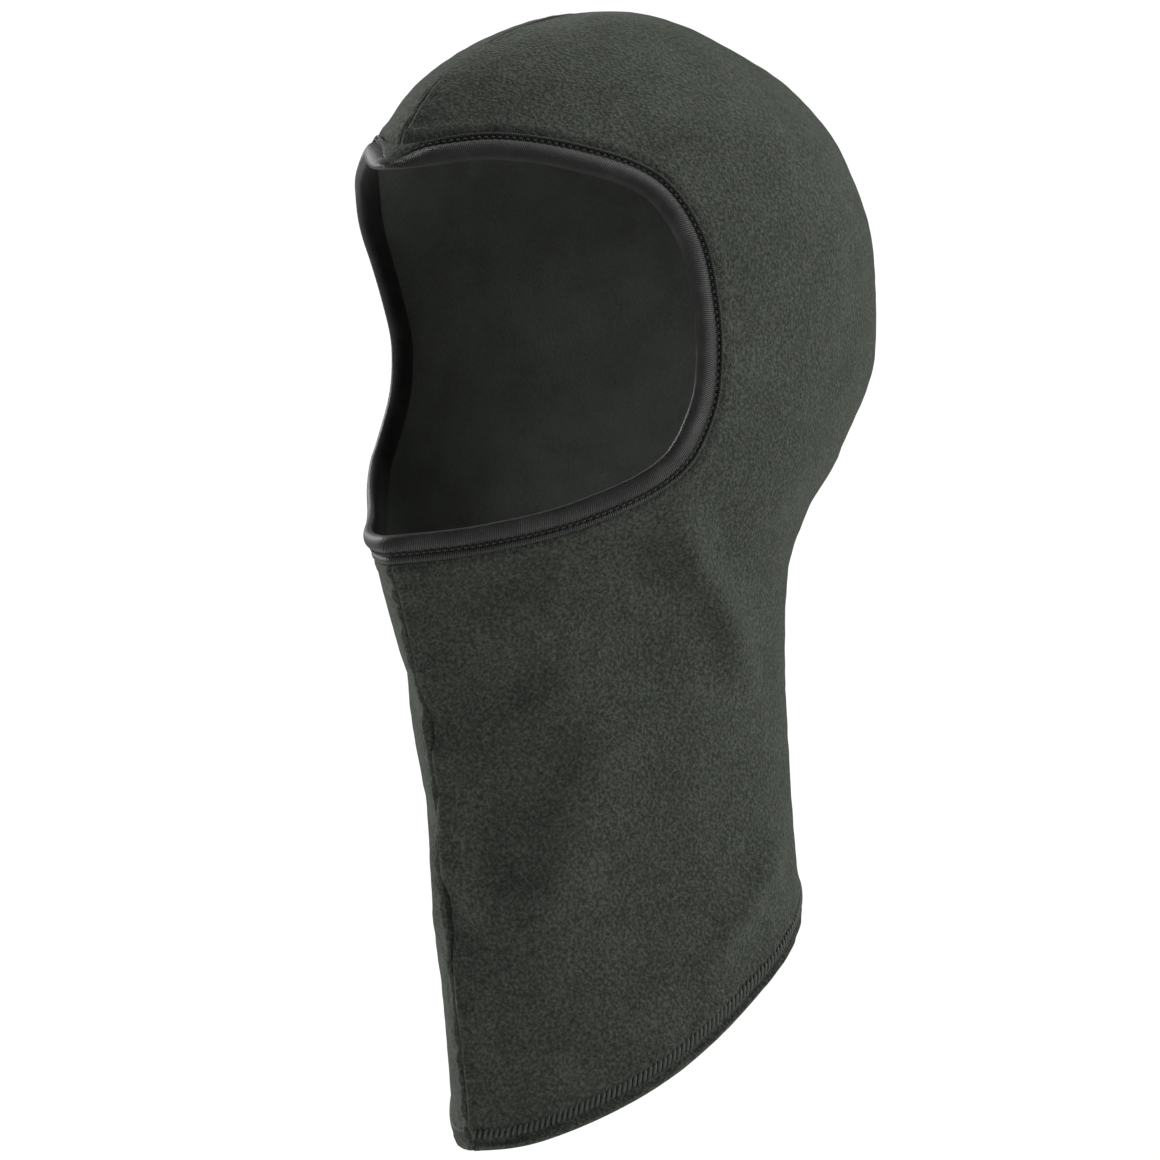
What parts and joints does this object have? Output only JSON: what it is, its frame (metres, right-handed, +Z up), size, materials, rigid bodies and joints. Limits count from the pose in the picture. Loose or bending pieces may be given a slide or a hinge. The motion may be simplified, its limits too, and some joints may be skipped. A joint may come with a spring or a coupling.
{
  "type": "balaclava",
  "caption": "Fleece balaclava with a centre-seamed hood and long neck, tape-bound face opening and a curved, cover-stitched hem.",
  "frame": {"origin": "the top of the crown, on the inside of the fleece, where the top of a wearer's head rests", "axes": "+Z up, the face opening looks along -Y, +X is the wearer's left; the YZ plane is the plane of the centre seams"},
  "size_m": [0.164, 0.2125, 0.3857],
  "materials": {
    "fleece": "brushed microfleece, matt with a soft nap",
    "binding_tape": "ribbed elastic tape, slight satin",
    "thread": "twisted polyester sewing thread, dull"
  },
  "bodies": {
    "root": {"left_side_panel": "fleece", "right_side_panel": "fleece", "face_binding_tape": "binding_tape", "face_binding_stitching": "thread", "binding_end_tack": "thread", "crown_and_back_seam_thread": "thread", "throat_seam_thread": "thread", "hem_stitching": "thread"}
  },
  "joints": []
}
